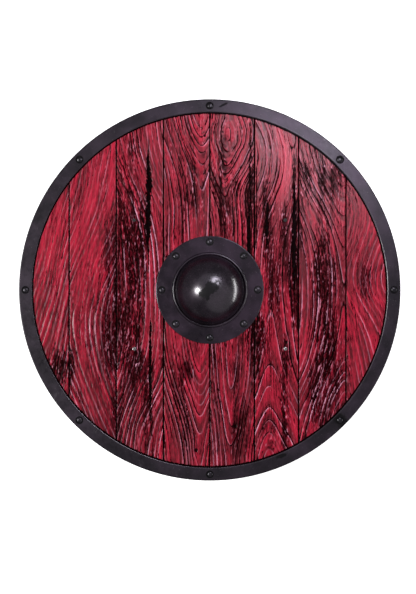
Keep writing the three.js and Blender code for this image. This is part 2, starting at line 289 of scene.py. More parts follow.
def face_relief(number, x, y, edge_distance):
    """The height of the face and what lies on it, all from the board's growth.

    Each pattern adds a number of its own to the board's seed.
    """
    growth, seed = GROWTH[number - 1], 7 * number
    near = 0.5
    rings, side, fibres = ring_count(growth, x, y, seed)
    slope_x = (ring_count(growth, x + near, y, seed)[0] - rings) / near
    slope_y = (ring_count(growth, x, y + near, seed)[0] - rings) / near
    steepness = np.hypot(slope_x, slope_y)

    def along_rings(count, across_step, along_step, offset):
        """Smooth noise that follows the rings, and differs on the two sides of the heart."""
        left = drift(count / across_step, y / along_step, seed + offset)
        right = drift(count / across_step, y / along_step, seed + offset + 100)
        return left + (right - left) * side

    # The face rises slowly over each ring and drops at its end. A dark line lies at the foot
    # of that step, and its crest is painted pale: a painted highlight, with some wear. Distance is
    # in millimetres from the step.
    nearest = np.round(rings)
    ramp = (rings - nearest) * growth["steps"]
    distance = (rings - nearest) / np.maximum(steepness, 0.02) * growth["steps"]
    each_ring = 0.68 + 0.42 * along_rings(nearest, NEXT_RING, WHOLE_LENGTH, 5)
    strength = np.clip(each_ring * (0.9 + 0.6 * along_rings(nearest, 1.1, 75, 31)), 0.08, 1.15)
    raised = strength * (0.85 - 0.2 * np.tanh((y - 30) / 130))
    step = raised * (ramp - 0.5 * np.tanh(distance / STEP_WIDTH))
    height = STEP_HEIGHT * step
    line = np.exp(-(((distance - 0.4) / LINE_WIDTH) ** 2)) * np.clip(1.5 * strength - 0.3, 0, 1)
    worn = np.exp(-(((distance + 1.3) / CREST_WIDTH) ** 2)) * np.clip(1.7 * raised - 0.25, 0, 1)
    # Painted light: steps that face away from the left lamp get darker lines, as painted shade, and
    # those that face it get paler crests, as painted highlight.
    faces_away_from_lamp = slope_x / np.maximum(steepness, 0.02) * growth["steps"]
    line, worn = line * (1 + 0.25 * faces_away_from_lamp), worn * (1 - 0.3 * faces_away_from_lamp)
    worn = worn * np.clip(0.7 + 1.1 * drift(x / 26, y / 60, seed + 61), 0, 1)
    worn = worn * np.clip(0.75 + 0.8 * along_rings(nearest, NEXT_RING, 110, 63), 0.1, 1.3)

    # Finer lines run between the rings, and broken pits along all of them.
    fine_count = rings * FINE_LINES_PER_RING + 0.6 * drift(x / 12, y / 80, seed + 51)
    fine_ring = np.round(fine_count)
    fine_steepness = FINE_LINES_PER_RING * np.maximum(steepness, 0.03)
    fine_distance = (fine_count - fine_ring) / fine_steepness
    fine_strength = np.clip(0.25 + 1.2 * along_rings(fine_ring, 1.2, 45, 52), 0, 1)
    fine_line = np.exp(-((fine_distance / FINE_GROOVE_WIDTH) ** 2)) * fine_strength
    height -= FINE_GROOVE_DEPTH * fine_line
    grain_x = fibres * growth["ring_width"]
    pit = 0.6 * drift(grain_x / 1.8, y / 8, seed + 3) + 0.6 * drift(grain_x / 1.2, y / 4, seed + 4)
    pit += 0.2 * drift(grain_x / 5, y / 30, seed + 6)
    streak = 0.7 * drift(grain_x / 1.5, y / 30, seed + 7)
    streak = streak + 0.4 * drift(grain_x / 3.1, y / 75, seed + 8)

    split, opening = split_marks(x, y, seed)
    height -= SPLIT_DEPTH * opening
    for knot_x, knot_y, radius in KNOTS:
        hollow = np.exp(-(((x - knot_x) ** 2 + (y - knot_y) ** 2) / radius**2))
        height -= KNOT_DEPTH * hollow
        split = np.maximum(split, hollow)

    wash = growth["grime"] + 0.2 * drift(x / 22, y / 95, seed + 41)
    wash = wash + 0.27 * drift(x / 7, y / 75, seed + 42)
    blotch = 0.95 + 0.5 * drift(x / 5, y / 90, seed + 43)
    for amount, reach in patch_reaches(WASHES, x, y):
        wash = wash + amount * np.exp(-(reach**1.2) / 1.6) * blotch
    wash = np.clip(wash, -0.1, 1.4)
    height += (PIT_DEPTH + 0.1 * wash) * pit
    height -= EDGE_ROUND_DEPTH * np.exp(-((edge_distance / EDGE_ROUND_WIDTH) ** 2))

    # Black ink fills the lines, the deepest pits and the seams. The band along the steel is a
    # painted shadow of the rim, with some dirt.
    line = line * growth["lines"]
    fine_line = fine_line * growth["lines"]
    rim_shadow_and_dirt = np.clip((np.hypot(x, y) - RIM_SHADOW_RADIUS) / 1.2, 0, 1)
    seam_edge = SEAM_HALF_WIDTH + 0.35 * drift(x / 30, y / 24, seed + 71)
    seam = np.clip((seam_edge - edge_distance) / 0.6, 0, 1)
    broken = 0.15 + 0.35 * np.minimum(wash * abs(wash), 1)
    ink = np.minimum(0.6 * wash, 0.7) - 0.3 - broken * (1.3 * pit + streak)
    ink = ink + 1.35 * line + 0.75 * fine_line + 2.5 * rim_shadow_and_dirt

    # Where the wash lies, pale specks are painted on the tops of the broken fibres: painted
    # glints, with some wear through the wash.
    fibre_top_glints = np.clip((pit - 0.5) * 2, 0, 1) * np.clip(wash, 0, 1)
    foot, head = growth["crests"]
    crests = foot + (head - foot) * (0.5 + 0.5 * np.tanh(y / 110))
    worn = np.maximum(crests * worn, fibre_top_glints)

    # The wash is softer than the ink: it dulls the red, and most of all where the wood is low.
    wash = wash - (0.15 + 0.25 * wash) * (1.2 * pit + streak) + 0.35 * line + 0.45 * fine_line
    tone = 0.1 * pit + 0.3 * step + 0.12 * along_rings(nearest, NEXT_RING, 140, 81)
    blotch = 0.9 + 0.5 * drift(grain_x / 4, y / 50, seed + 44)
    for amount, reach in patch_reaches(STAINS, x, y):
        stain = amount * np.exp(-reach) * blotch
        wash, tone = wash + stain, tone - 0.12 * stain
    return {
        "height": height,
        "grain_x": grain_x,
        "tone": tone,
        "ink": np.maximum(ink, 2 * np.maximum(split, seam)),
        "wash": wash,
        "worn": worn * (1 - split) * (1 - seam),
    }


def shade_smooth(mesh, sharp_from):
    """Smooth shading, with a crease where the surface turns by so many degrees."""
    mesh.polygons.foreach_set("use_smooth", np.ones(len(mesh.polygons), dtype=bool))
    mesh.set_sharp_from_angle(angle=math.radians(sharp_from))


def add_attribute(mesh, name, values, kind="FLOAT", field="value"):
    layer = mesh.attributes.new(name, kind, "POINT")
    layer.data.foreach_set(field, values.ravel())


def board_mesh(number):
    """One board: a fine relief on its face, plain edges and a chamfered back."""
    low, high = (np.array(corner) * 1000 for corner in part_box(f"board_{number}"))
    disc_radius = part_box("board_4")[1].y * 1000
    top = high[1] - END_TRIM
    rows = np.linspace(-top, top, int(2 * top / ROW_STEP) + 1)
    arc = np.sqrt(disc_radius**2 - rows**2)
    hole = np.sqrt(np.maximum(HAND_HOLE_RADIUS**2 - rows**2, 0))
    low[0], high[0] = low[0] - SWELLING, high[0] + SWELLING
    left, right = np.maximum(low[0], -arc), np.minimum(high[0], arc)
    if abs(high[0]) < HAND_HOLE_RADIUS:
        right = np.minimum(right, -hole)
    if abs(low[0]) < HAND_HOLE_RADIUS:
        left = np.maximum(left, hole)

    width = high[0] - low[0]
    from_edge = EDGE_STEPS[-1] + COLUMN_STEP
    middle = np.arange(from_edge, width - from_edge + COLUMN_STEP / 2, COLUMN_STEP)
    columns = np.concatenate([EDGE_STEPS, middle, width - np.array(EDGE_STEPS[::-1])]) / width
    x = left[:, None] + columns[None, :] * (right - left)[:, None]
    y = np.repeat(rows[:, None], len(columns), axis=1)
    relief = face_relief(number, x, y, np.minimum(x - left[:, None], right[:, None] - x))

    # The face is a grid. The back is one strip, with a chamfer down each side.
    row_count, column_count = x.shape
    face = np.stack([x, y, high[2] + relief["height"]], axis=-1).reshape(-1, 3)
    inset = np.minimum(BACK_CHAMFER, (right - left) / 3)
    strips = [(left, BACK_CHAMFER), (left + inset, 0), (right - inset, 0), (right, BACK_CHAMFER)]
    back = np.concatenate([
        np.stack([edge, rows, np.full_like(rows, low[2] + rise)], axis=-1) for edge, rise in strips
    ])
    points = np.concatenate([face, back]) / 1000

    grid = np.arange(row_count * column_count).reshape(row_count, column_count)
    lanes = [grid[:, 0]]
    lanes += [len(face) + row_count * lane + np.arange(row_count) for lane in range(len(strips))]
    lanes += [grid[:, -1]]
    corners = [grid[:-1, :-1], grid[:-1, 1:], grid[1:, 1:], grid[1:, :-1]]
    quads = [np.stack(corners, axis=-1).reshape(-1, 4)]
    for inner, outer in zip(lanes[:-1], lanes[1:]):
        quads.append(np.stack([inner[:-1], inner[1:], outer[1:], outer[:-1]], axis=-1))
    foot = [*grid[0, ::-1], *(lane[0] for lane in lanes[1:-1])]
    head = [*grid[-1], *(lane[-1] for lane in lanes[-2:0:-1])]
    faces = [*np.concatenate(quads).tolist(), foot, head]

    mesh = bpy.data.meshes.new(f"painted_board_{number}")
    mesh.from_pydata(points.tolist(), [], faces)
    shade_smooth(mesh, BOARD_SMOOTH_ANGLE)

    # On the back, the wash is the board's own darkness, and painted shade on the chamfers at
    # the seams beside it.
    plain = np.zeros(len(back))
    darkness = 0.45 * (GOLDEN_STEP * number % 1)
    behind = {"wash": np.repeat([1, darkness, darkness, 1], row_count)}
    relief["paint"] = np.ones(len(face))
    for name in ("ink", "wash", "tone", "worn", "paint"):
        values = np.concatenate([relief[name].ravel(), behind.get(name, plain)])
        add_attribute(mesh, name, values)
    back_x = back[:, 0] * 1.3
    grain_x = np.concatenate([relief["grain_x"].ravel(), back_x]) / 1000
    grain = np.stack([grain_x, points[:, 1], np.full(len(points), 0.37 * number)], axis=-1)
    add_attribute(mesh, "grain", grain, "FLOAT_VECTOR", "vector")
    return mesh


def add_node(tree, kind, inputs=None, **settings):
    """A node with its settings, and each input either joined to a socket or given a value."""
    node = tree.nodes.new(kind)
    for name, value in settings.items():
        setattr(node, name, value)
    for socket, value in (inputs or {}).items():
        if isinstance(value, bpy.types.NodeSocket):
            tree.links.new(value, node.inputs[socket])
        else:
            node.inputs[socket].default_value = value
    return node


def maths(tree, operation, *values, clamp=False):
    inputs = dict(enumerate(values))
    return add_node(tree, "ShaderNodeMath", inputs, operation=operation, use_clamp=clamp).outputs[0]


def times(tree, first, second):
    return maths(tree, "MULTIPLY", first, second)


def scale_add(tree, value, scale, base):
    return maths(tree, "MULTIPLY_ADD", value, scale, base)


def stretched_noise(tree, vector, scale, detail=3, roughness=0.55):
    """Noise of about one feature to each 1/scale, along X, Y and Z."""
    placed = add_node(tree, "ShaderNodeMapping", {"Vector": vector, "Scale": scale})
    inputs = {"Vector": placed.outputs[0], "Scale": 1.0, "Detail": detail, "Roughness": roughness}
    return add_node(tree, "ShaderNodeTexNoise", inputs).outputs[0]


def between(tree, value, low, high, to_low=0.0, to_high=1.0):
    """The value's place between two limits, eased, as a number between two others."""
    inputs = {"Value": value, "From Min": low, "From Max": high}
    inputs.update({"To Min": to_low, "To Max": to_high})
    return add_node(tree, "ShaderNodeMapRange", inputs, interpolation_type="SMOOTHSTEP").outputs[0]


def sway(tree, noise, amount, base):
    """A value that a noise moves up and down by an amount. The noise swings about a half."""
    return scale_add(tree, maths(tree, "SUBTRACT", noise, 0.5), amount, base)


def blend_colours(tree, factor, first, second):
    inputs = {0: factor, 6: first, 7: second}
    return add_node(tree, "ShaderNodeMix", inputs, data_type="RGBA").outputs[2]


def object_place(tree):
    return add_node(tree, "ShaderNodeTexCoord").outputs["Object"]


def attribute(tree, name, output="Fac"):
    return add_node(tree, "ShaderNodeAttribute", attribute_name=name).outputs[output]


def bump_normal(tree, height, strength, distance):
    inputs = {"Strength": strength, "Distance": distance, "Height": height}
    return add_node(tree, "ShaderNodeBump", inputs).outputs[0]


def new_group(name, inputs, outputs, kind="ShaderNodeTree"):
    """An empty node group with named sockets, and the sockets it is given to work from."""
    tree = bpy.data.node_groups.new(name, kind)
    for way, sockets in (("INPUT", inputs), ("OUTPUT", outputs)):
        for socket, value_kind in sockets.items():
            tree.interface.new_socket(socket, in_out=way, socket_type=f"NodeSocket{value_kind}")
    return tree, add_node(tree, "NodeGroupInput").outputs


def new_material(name):
    material = bpy.data.materials.new(name)
    material.use_nodes = True
    material.node_tree.nodes.clear()
    return material, material.node_tree


def finish_material(tree, inputs, settings=()):
    """The one surface of a material. Values that never change are set on it directly."""
    surface = add_node(tree, "ShaderNodeBsdfPrincipled", inputs)
    for socket, value in dict(settings).items():
        surface.inputs[socket].default_value = value
    add_node(tree, "ShaderNodeOutputMaterial", {"Surface": surface.outputs[0]})


def bare_wood_group():
    """Oiled wood with its grain along the Y of a vector: its colour and its fine relief."""
    inputs = {"Grain": "Vector", "Dark": "Color", "Light": "Color"}
    tree, given = new_group("Oiled Wood", inputs, {"Color": "Color", "Relief": "Float"})
    rings = stretched_noise(tree, given["Grain"], (120, 3.5, 1), detail=2)
    fibre = stretched_noise(tree, given["Grain"], (900, 18, 1), detail=4, roughness=0.6)
    patch = stretched_noise(tree, given["Grain"], (14, 5, 1), detail=2)
    bands = maths(tree, "ABSOLUTE", maths(tree, "SINE", times(tree, rings, 24.0)))
    tone = times(tree, bands, 0.45)
    tone = maths(tree, "ADD", tone, times(tree, fibre, 0.45))
    tone = maths(tree, "ADD", tone, times(tree, patch, 0.3))
    colour = blend_colours(tree, between(tree, tone, 0.25, 0.95), given["Dark"], given["Light"])
    add_node(tree, "NodeGroupOutput", {"Color": colour, "Relief": tone})
    return tree


oiled_wood_group = bare_wood_group()


def oiled_wood(tree, grain, dark, light):
    node = add_node(tree, "ShaderNodeGroup", node_tree=oiled_wood_group)
    tree.links.new(grain, node.inputs["Grain"])
    node.inputs["Dark"].default_value = dark
    node.inputs["Light"].default_value = light
    return node.outputs["Color"], node.outputs["Relief"]


THICK_RED = (0.09, 0.0006, 0.005, 1)
THIN_RED = (0.57, 0.0095, 0.041, 1)
WASHED_RED = (0.022, 0.0008, 0.003, 1)
HIGHLIGHT_AND_WEAR_PINK = (0.84, 0.39, 0.53, 1)
THIN_INK = (0.015, 0.0004, 0.0009, 1)
THICK_INK = (0.003, 0.0003, 0.0006, 1)
BACK_DARK = (0.04, 0.018, 0.009, 1)
BACK_LIGHT = (0.22, 0.11, 0.052, 1)
BACK_TONE_AND_SEAM_SHADE = (0.022, 0.01, 0.006, 1)


def painted_board_material():
    material, tree = new_material("red paint on old boards")
    grain = attribute(tree, "grain", "Vector")
    ink, wash, tone, worn = (attribute(tree, name) for name in ("ink", "wash", "tone", "worn"))
    place = object_place(tree)

    fibre = stretched_noise(tree, grain, (950, 60, 1), detail=4, roughness=0.65)
    speck = stretched_noise(tree, grain, (560, 170, 1), detail=2)
    streak = stretched_noise(tree, grain, (330, 11, 1), detail=3)
    patch = stretched_noise(tree, place, (13, 6, 1), detail=3)

    # The paint is deeper where it lies thick, and brighter where it has worn thin.
    thin = scale_add(tree, streak, 0.5, times(tree, patch, 0.4))
    thin = maths(tree, "ADD", tone, scale_add(tree, fibre, 0.35, thin))
    red = blend_colours(tree, between(tree, thin, 0.4, 0.92), THICK_RED, THIN_RED)

    # The wash dulls it softly, and the crests of the rings are painted palest: a painted
    # highlight, with some wear.
    soft = scale_add(tree, fibre, -1.2, maths(tree, "ADD", wash, 0.6))
    stained = between(tree, soft, 0.2, 1.2, 0.0, 0.8)
    red = blend_colours(tree, stained, red, WASHED_RED)
    crest_highlight_and_wear = times(tree, worn, between(tree, fibre, 0.35, 0.6, 0.2, 0.95))
    red = blend_colours(tree, crest_highlight_and_wear, red, HIGHLIGHT_AND_WEAR_PINK)

    # The ink is nearly black, and broken by the fibres. It also stands in hairlines between
    # them, which are where the streaks pass their middle value.
    off_streak = maths(tree, "ABSOLUTE", maths(tree, "SUBTRACT", streak, 0.5))
    hairline = between(tree, off_streak, 0.0, 0.045, 0.8, 0.0)
    hairline = times(tree, hairline, between(tree, patch, 0.4, 0.6))
    specked = scale_add(tree, maths(tree, "MAXIMUM", wash, 0.2), 1.7, 0.5)
    broken = scale_add(tree, fibre, 1.3, sway(tree, speck, specked, ink))
    broken = maths(tree, "ADD", broken, maths(tree, "SUBTRACT", hairline, 0.65))
    black = between(tree, broken, 0.3, 0.62)
    pigment = blend_colours(tree, between(tree, broken, 0.9, 1.7), THIN_INK, THICK_INK)
    face = blend_colours(tree, black, red, pigment)

    back, back_relief = oiled_wood(tree, grain, BACK_DARK, BACK_LIGHT)
    back = blend_colours(tree, wash, back, BACK_TONE_AND_SEAM_SHADE)
    paint = attribute(tree, "paint")
    colour = blend_colours(tree, paint, back, face)
    relief = scale_add(tree, black, -0.35, fibre)
    mixed = add_node(tree, "ShaderNodeMix", {0: paint, 2: back_relief, 3: relief})
    normal = bump_normal(tree, mixed.outputs[0], 0.3, 0.0002)
    dull = scale_add(tree, fibre, 0.2, 0.35)
    dirt = maths(tree, "MAXIMUM", black, stained)
    varnish = times(tree, scale_add(tree, dirt, -0.6, 0.64), paint)
    inputs = {"Base Color": colour, "Roughness": dull, "Coat Weight": varnish, "Normal": normal}
    settings = {"Specular IOR Level": 0.0, "Coat Roughness": 0.3, "Coat IOR": 1.5}
    finish_material(tree, inputs, settings)
    return material


def add_piece(name, mesh, material):
    piece = bpy.data.objects.new(name, mesh)
    mesh.materials.append(material)
    bpy.context.collection.objects.link(piece)
    return piece


red_boards = painted_board_material()
for number in range(1, len(GROWTH) + 1):
    piece = add_piece(f"painted_board_{number}", board_mesh(number), red_boards)
    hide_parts(f"board_{number}")
    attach(piece, "root")

# ---- Battens and grip ----
# Two cross battens hold the boards together from behind, and a shaped wooden bar
# crosses the hand hole for the grip. All are of darker wood, oiled.


def cross_wood_material(name, dark, light):
    """Oiled wood whose grain runs across the shield."""
    material, tree = new_material(name)
    turned = {"Vector": object_place(tree), "Rotation": (0, 0, math.pi / 2)}
    along = add_node(tree, "ShaderNodeMapping", turned).outputs[0]
    colour, relief = oiled_wood(tree, along, dark, light)
    normal = bump_normal(tree, relief, 0.3, 0.0006)
    roughness = scale_add(tree, relief, -0.2, 0.68)
    finish_material(tree, {"Base Color": colour, "Roughness": roughness, "Normal": normal})
    return material


def set_material(node, material):
    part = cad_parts[node]
    part.data.materials.clear()
    part.data.materials.append(material)


BATTEN_COLOURS = (0.03, 0.014, 0.007, 1), (0.15, 0.07, 0.032, 1)
GRIP_COLOURS = (0.05, 0.022, 0.01, 1), (0.2, 0.098, 0.045, 1)
batten_wood = cross_wood_material("batten wood", *BATTEN_COLOURS)
set_material("batten_upper", batten_wood)
set_material("batten_lower", batten_wood)
set_material("grip", cross_wood_material("grip wood", *GRIP_COLOURS))

# ---- Rim ----
# A channel of flat steel, bent round the edge of the boards and blackened. Its face has
# gone smooth and satin with handling, and its edges have begun to shine.

rim_low, rim_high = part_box("rim")
RIM_RADIUS = rim_high.x
RIM_FRONT_WIDTH = 0.024
RIM_BACK_WIDTH = 0.020
RIM_CORNER = 0.0016
RIM_LIP = 0.001
RIM_WORN_WIDTH = 0.0019
RIM_SIDES = 256
STEEL = 0.002
STEEL_SMOOTH_ANGLE = 40
METALLIC = 0.55
RIVETS_ROUND = 8
RIM_RIVET_CIRCLE = 0.338
SHADE_AND_GRIME_ROUND_RIVET = 0.0073
# Beside each rounded edge a flat starts this far in, so that its shading stays flat.
FLAT_START = 0.0004

RIM_BLACK = (0.031, 0.021, 0.032, 1)
DEEP_BLACK = (0.004, 0.004, 0.005, 1)
GRIME_AND_SHADE_BLACK = (0.002, 0.002, 0.002, 1)
SCUFF_GREY = (0.2, 0.19, 0.2, 1)
DUST_GREY = (0.3, 0.28, 0.28, 1)

# A scuff's middle, its half length and half width in metres, and its turn in degrees.
RIM_SCUFFS = [
    (0.0255, 0.3395, 0.0110, 0.0020, 26),
    (0.2405, -0.2400, 0.0240, 0.0120, -45),
    (0.1305, -0.3045, 0.0120, 0.0045, 22),
]


def lathe_mesh(name, profile, sides, closed=True):
    """A profile of (radius, height) pairs turned round Z. Closed joins its two ends."""
    turned = bmesh.new()
    angles = [2 * math.pi * step / sides for step in range(sides)]
    rings = []
    for radius, height in profile:
        if radius < 1e-6:
            rings.append([turned.verts.new((0, 0, height))] * sides)
            continue
        spots = [(radius * math.cos(a), radius * math.sin(a), height) for a in angles]
        rings.append([turned.verts.new(spot) for spot in spots])
    pairs = zip(rings, rings[1:] + rings[:1]) if closed else zip(rings, rings[1:])
    for lower, upper in pairs:
        for step in range(sides):
            ahead = (step + 1) % sides
            corners = [lower[step], lower[ahead], upper[ahead], upper[step]]
            unique = list(dict.fromkeys(corners))
            if len(unique) > 2:
                turned.faces.new(unique)
    bmesh.ops.recalc_face_normals(turned, faces=turned.faces)
    mesh = bpy.data.meshes.new(name)
    turned.to_mesh(mesh)
    turned.free()
    shade_smooth(mesh, STEEL_SMOOTH_ANGLE)
    return mesh


def rounded_corner(centre, width, start, end, steps=4, depth=None):
    """Points round part of an oval. Angles are in degrees, from outwards towards upwards."""
    angles = np.radians(np.linspace(start, end, steps + 1))
    depth = depth or width
    return [(centre[0] + width * math.cos(a), centre[1] + depth * math.sin(a)) for a in angles]


def rim_profile():
    front, back = rim_high.z, rim_low.z
    inner, outer = RIM_RADIUS - RIM_FRONT_WIDTH, RIM_RADIUS - RIM_CORNER
    lip_inner = RIM_RADIUS - RIM_BACK_WIDTH
    back_lip = (lip_inner + RIM_LIP, back + RIM_LIP)
    worn_lip = (inner + RIM_WORN_WIDTH, front - RIM_LIP)
    return [
        (inner, front - STEEL),
        (RIM_RADIUS - STEEL, front - STEEL),
        (RIM_RADIUS - STEEL, back + STEEL),
        (lip_inner, back + STEEL),
        *rounded_corner(back_lip, RIM_LIP, 180, 270, 2),
        (lip_inner + RIM_LIP + FLAT_START, back),
        (outer - FLAT_START, back),
        *rounded_corner((outer, back + RIM_CORNER), RIM_CORNER, 270, 360),
        (RIM_RADIUS, back + RIM_CORNER + FLAT_START),
        (RIM_RADIUS, front - RIM_CORNER - FLAT_START),
        *rounded_corner((outer, front - RIM_CORNER), RIM_CORNER, 0, 90),
        (outer - FLAT_START, front),
        (inner + RIM_WORN_WIDTH + FLAT_START, front),
        *rounded_corner(worn_lip, RIM_WORN_WIDTH, 90, 180, 6, RIM_LIP),
    ]


def rivet_shade_and_grime_group():
    """Painted shade and grime round a circle of evenly spaced rivets: how close a point is to
    the nearest one.
    """
    inputs = {"Circle Radius": "Float", "Mark Radius": "Float"}
    tree, given = new_group("Rivet Shade And Grime", inputs, {"Mark": "Float"})
    x, y, _ = add_node(tree, "ShaderNodeSeparateXYZ", {0: object_place(tree)}).outputs

    def length(first, second):
        squares = (times(tree, side, side) for side in (first, second))
        return maths(tree, "SQRT", maths(tree, "ADD", *squares))

    reach = length(x, y)
    folded = maths(tree, "PINGPONG", maths(tree, "ARCTAN2", y, x), math.pi / RIVETS_ROUND)
    side = times(tree, maths(tree, "SINE", folded), reach)
    out = times(tree, maths(tree, "COSINE", folded), reach)
    out = maths(tree, "SUBTRACT", out, given["Circle Radius"])
    ratio = maths(tree, "DIVIDE", length(side, out), given["Mark Radius"])
    add_node(tree, "NodeGroupOutput", {"Mark": between(tree, ratio, 1.15, 0.85)})
    return tree


def worn_steel_group():
    """Blackened steel: its colour, roughness and fine relief, worn and scuffed by handling."""
    inputs = {"Black": "Color", "Grime": "Float", "Polish": "Float"}
    outputs = {"Color": "Color", "Roughness": "Float", "Relief": "Float"}
    tree, given = new_group("Worn Steel", inputs, outputs)
    place = object_place(tree)
    cloud = stretched_noise(tree, place, (22, 22, 22), detail=4)
    speck = stretched_noise(tree, place, (420, 420, 420), detail=2)
    scuff = stretched_noise(tree, place, (60, 34, 60), detail=5, roughness=0.7)
    fine = stretched_noise(tree, place, (180, 130, 180), detail=4, roughness=0.7)

    dust = between(tree, speck, 0.66, 0.78)
    worn = between(tree, scuff, 0.6, 0.74)
    darker = blend_colours(tree, 0.65, given["Black"], DEEP_BLACK)
    colour = blend_colours(tree, between(tree, cloud, 0.35, 0.7), darker, given["Black"])
    colour = blend_colours(tree, times(tree, worn, 0.18), colour, SCUFF_GREY)
    colour = blend_colours(tree, times(tree, dust, 0.2), colour, DUST_GREY)
    # Grime darkens the colour: real grime on scuffs and patches, and painted shade where it rings
    # the rivets.
    colour = blend_colours(tree, given["Grime"], colour, GRIME_AND_SHADE_BLACK)

    rough = scale_add(tree, given["Polish"], -0.25, 0.4)
    rough = sway(tree, fine, 0.3, sway(tree, cloud, 0.22, rough))
    rough = maths(tree, "MULTIPLY_ADD", given["Grime"], 0.3, rough, clamp=True)
    relief = scale_add(tree, speck, 0.25, cloud)
    add_node(tree, "NodeGroupOutput", {"Color": colour, "Roughness": rough, "Relief": relief})
    return tree


worn_steel = worn_steel_group()
rivet_shade_and_grime = rivet_shade_and_grime_group()


def steel_material(name, black, polish, metallic=METALLIC, specular=0.5, dents=0.12, dress=None):
    """Dress joins marks to the steel's own inputs, and gives any further ones of the surface."""
    material, tree = new_material(name)
    steel = add_node(tree, "ShaderNodeGroup", node_tree=worn_steel)
    steel.inputs["Black"].default_value = black
    steel.inputs["Polish"].default_value = polish
    inputs = {
        "Base Color": steel.outputs["Color"],
        "Roughness": steel.outputs["Roughness"],
        "Normal": bump_normal(tree, steel.outputs["Relief"], dents, 0.0015),
        "Metallic": metallic,
    }
    if dress:
        inputs.update(dress(tree, steel))
    finish_material(tree, inputs, {"Specular IOR Level": specular, "Coat Roughness": 0.19})
    return material


def shade_and_grime_round_rivets(tree, circle_radius):
    mark = add_node(tree, "ShaderNodeGroup", node_tree=rivet_shade_and_grime)
    mark.inputs["Circle Radius"].default_value = circle_radius
    mark.inputs["Mark Radius"].default_value = SHADE_AND_GRIME_ROUND_RIVET
    return mark.outputs["Mark"]


def vector_length(tree, vector):
    return add_node(tree, "ShaderNodeVectorMath", {0: vector}, operation="LENGTH").outputs["Value"]


def distance_from_middle(tree, place):
    flat = add_node(tree, "ShaderNodeVectorMath", {0: place, 1: (1, 1, 0)}, operation="MULTIPLY")
    return vector_length(tree, flat.outputs[0])


def reach_in_oval(tree, place, middle, half_sizes, turn):
    """How far out a point lies in a turned oval: 1 is its edge."""
    inputs = {
        "Vector": place,
        "Location": middle,
        "Rotation": (0, 0, math.radians(turn)),
        "Scale": half_sizes,
    }
    placed = add_node(tree, "ShaderNodeMapping", inputs, vector_type="TEXTURE")
    return vector_length(tree, placed.outputs[0])


def dress_rim(tree, steel):
    """Grime and painted shade round each rivet, a scuff beside the top one, dull patches and a
    worn inner edge.
    """
    grime = shade_and_grime_round_rivets(tree, RIM_RIVET_CIRCLE)
    place = object_place(tree)
    ragged = stretched_noise(tree, place, (160, 160, 160), detail=3)
    for x, y, half_length, half_width, turn in RIM_SCUFFS:
        middle, half_sizes = (x, y, rim_high.z), (half_length, half_width, 1)
        reach = reach_in_oval(tree, place, middle, half_sizes, turn)
        scuffed = scale_add(tree, ragged, 1.2, reach)
        grime = maths(tree, "MAXIMUM", grime, between(tree, scuffed, 1.8, 1.2, 0.0, 0.85))
    tree.links.new(grime, steel.inputs["Grime"])
    inner = RIM_RADIUS - RIM_FRONT_WIDTH
    metallic = scale_add(tree, grime, 0.3, METALLIC)
    from_middle = distance_from_middle(tree, place)
    worn = between(tree, from_middle, inner + 0.0024, inner + 0.0016)
    return {"Metallic": metallic, "Coat Weight": worn}


rim_finish = steel_material("blackened rim", RIM_BLACK, polish=0.2, dress=dress_rim)
rim_mesh = lathe_mesh("steel_rim", rim_profile(), RIM_SIDES)
rim_piece = add_piece("steel_rim", rim_mesh, rim_finish)
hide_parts("rim")
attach(rim_piece, "root")

# ---- Boss ----
# A hollow bowl raised from one sheet of steel. Its flange lies flat on the boards, a bead
# runs round the foot of the dome, and the dome is polished until it shines.

boss_low, boss_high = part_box("boss")
BOSS_LEVEL = boss_low.z
FLANGE_RADIUS = boss_high.x
FLANGE_EDGE = 0.0012
DOME_RADIUS = 0.0635
BOSS_SIDES = 160
BOSS_RIVET_CIRCLE = 0.088
BOSS_BLACK = (0.031, 0.02, 0.031, 1)
DOME_SHEEN_BLACK = (0.044, 0.032, 0.043, 1)
DARK_PATCH_MIDDLE = (0.0005, 0.0005, 0)
DARK_PATCH_HALF_SIZES = (0.0195, 0.0125, 1e4)

# The bead's section, with each point measured outwards and up from the dome's foot.
BEAD_RADIUS = 0.0023
BEAD_MIDDLE = (0.0031, 0.0007)
BEAD_INNER_FOOT = (0.0002, 0.0006)
BEAD_OUTER_FOOT = (0.0062, 0.0001)
FLANGE_START = 0.0075


def boss_profile():
    level = BOSS_LEVEL + STEEL
    height = boss_high.z - level
    angles = np.radians(np.linspace(90, 3, 28))
    shells = []
    for radius, rise in ((DOME_RADIUS, height), (DOME_RADIUS - STEEL, height - STEEL)):
        curve = [(radius * math.cos(a), level + rise * math.sin(a)) for a in angles]
        shells.append([(0, level + rise), *curve[1:]])
    outside, inside = shells
    inner_foot, bead_middle, outer_foot = (
        (DOME_RADIUS + out, level + up)
        for out, up in (BEAD_INNER_FOOT, BEAD_MIDDLE, BEAD_OUTER_FOOT)
    )
    flange_corner = (FLANGE_RADIUS - FLANGE_EDGE, level - FLANGE_EDGE)
    return [
        *outside,
        inner_foot,
        *rounded_corner(bead_middle, BEAD_RADIUS, 165, 15, 8),
        outer_foot,
        (DOME_RADIUS + FLANGE_START, level),
        (DOME_RADIUS + FLANGE_START + FLAT_START, level),
        (FLANGE_RADIUS - FLANGE_EDGE - FLAT_START, level),
        *rounded_corner(flange_corner, FLANGE_EDGE, 90, 0, 3),
        (FLANGE_RADIUS, BOSS_LEVEL),
        (DOME_RADIUS - STEEL, BOSS_LEVEL),
        *inside[::-1],
    ]


